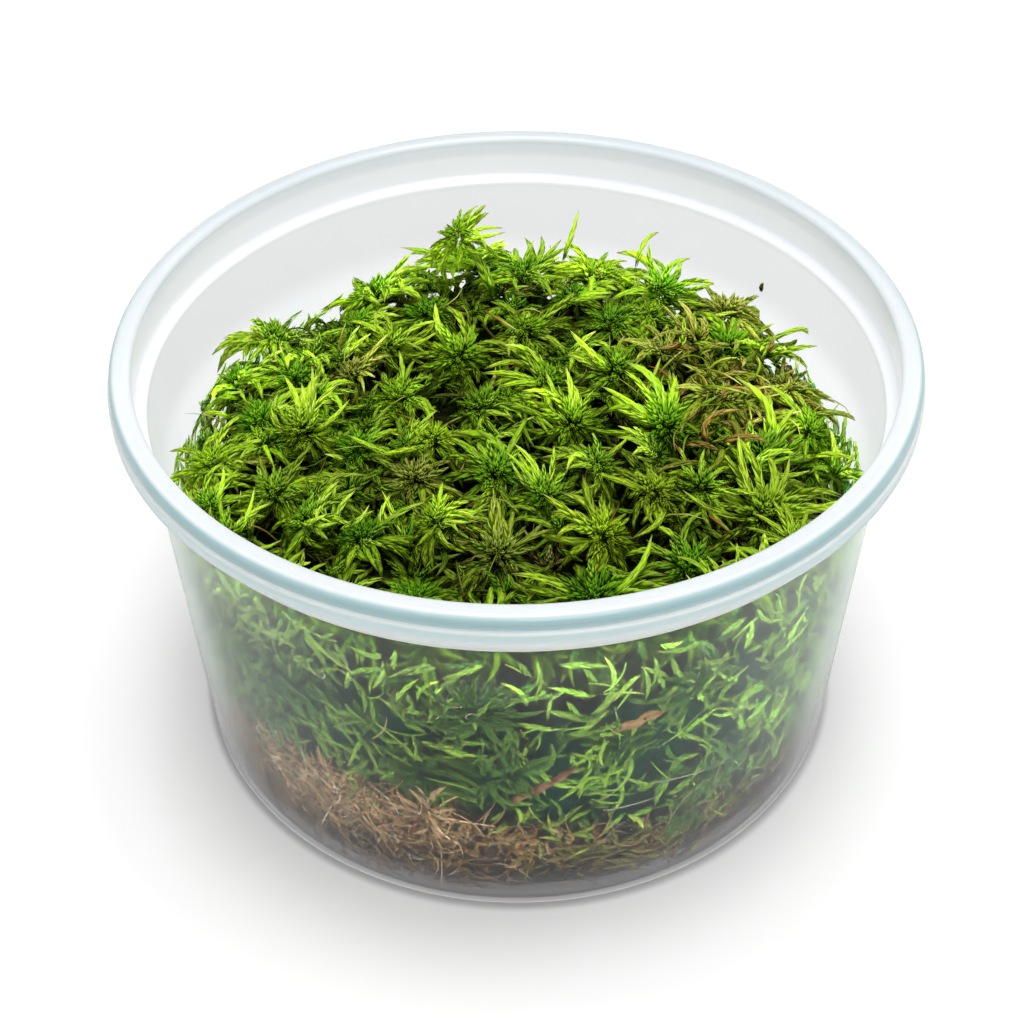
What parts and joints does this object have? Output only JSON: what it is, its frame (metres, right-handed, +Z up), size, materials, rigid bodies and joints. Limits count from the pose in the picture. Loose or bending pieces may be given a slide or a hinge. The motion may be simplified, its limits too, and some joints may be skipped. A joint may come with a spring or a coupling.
{
  "type": "moss clump in a tub",
  "caption": "Clump of star-headed bog moss, packed in a round translucent plastic tub with a rolled rim and standing on its foot ring.",
  "frame": {"origin": "centre of the tub's foot ring, on the surface it stands on", "axes": "+Z up along the tub's axis; -Y faces the viewer, with the tall shoot at the back left"},
  "size_m": [0.117, 0.117, 0.0665],
  "materials": {
    "tub_plastic": "milky translucent polypropylene with a soft gloss",
    "moss_green": "fresh green overlapping scale leaves, dark in the tuft and pale at the tips",
    "moss_bright": "yellow-green young moss, slightly translucent",
    "moss_olive": "olive and tan fading moss",
    "stems_green": "dark green mat of stems and hanging branches",
    "litter_brown": "brown dead moss and fine fibres, dull",
    "bark_brown": "red-brown bark and dry leaf, dull"
  },
  "bodies": {
    "root": {"tub": "tub_plastic", "dead_moss": "litter_brown", "moss_mat": "stems_green", "moss_head_01": "moss_green", "moss_head_02": "moss_green", "moss_head_03": "moss_green", "moss_head_04": "moss_bright", "moss_head_05": "moss_green", "moss_head_06": "moss_green", "moss_head_07": "moss_green", "moss_head_08": "moss_olive", "moss_head_09": "moss_green", "moss_head_10": "moss_bright", "moss_head_11": "moss_green", "moss_head_12": "moss_green", "moss_head_13": "moss_green", "moss_head_14": "moss_bright", "moss_head_15": "moss_bright", "moss_head_16": "moss_green", "moss_head_17": "moss_green", "moss_head_18": "moss_green", "moss_head_19": "moss_green", "moss_head_20": "moss_green", "moss_head_21": "moss_green", "moss_head_22": "moss_bright", "moss_head_23": "moss_green", "moss_head_24": "moss_green", "moss_head_25": "moss_green", "moss_head_26": "moss_olive", "moss_head_27": "moss_olive", "moss_head_28": "moss_green", "moss_head_29": "moss_green", "moss_head_30": "moss_green", "moss_head_31": "moss_bright", "moss_head_32": "moss_green", "moss_head_33": "moss_bright", "moss_head_34": "moss_green", "moss_head_35": "moss_green", "moss_head_36": "moss_green", "moss_head_37": "moss_olive", "moss_head_38": "moss_olive", "moss_head_39": "moss_green", "moss_head_40": "moss_olive", "moss_head_41": "moss_green", "moss_head_42": "moss_olive", "moss_head_43": "moss_green", "moss_head_44": "moss_bright", "moss_head_45": "moss_green", "moss_head_46": "moss_green", "moss_head_47": "moss_bright", "moss_head_48": "moss_bright", "moss_head_49": "moss_green", "moss_head_50": "moss_bright", "moss_head_51": "moss_green", "moss_head_52": "moss_green", "tall_shoot": "moss_bright", "bark_sliver": "bark_brown", "dead_frond": "litter_brown", "brown_leaf": "bark_brown"}
  },
  "joints": []
}
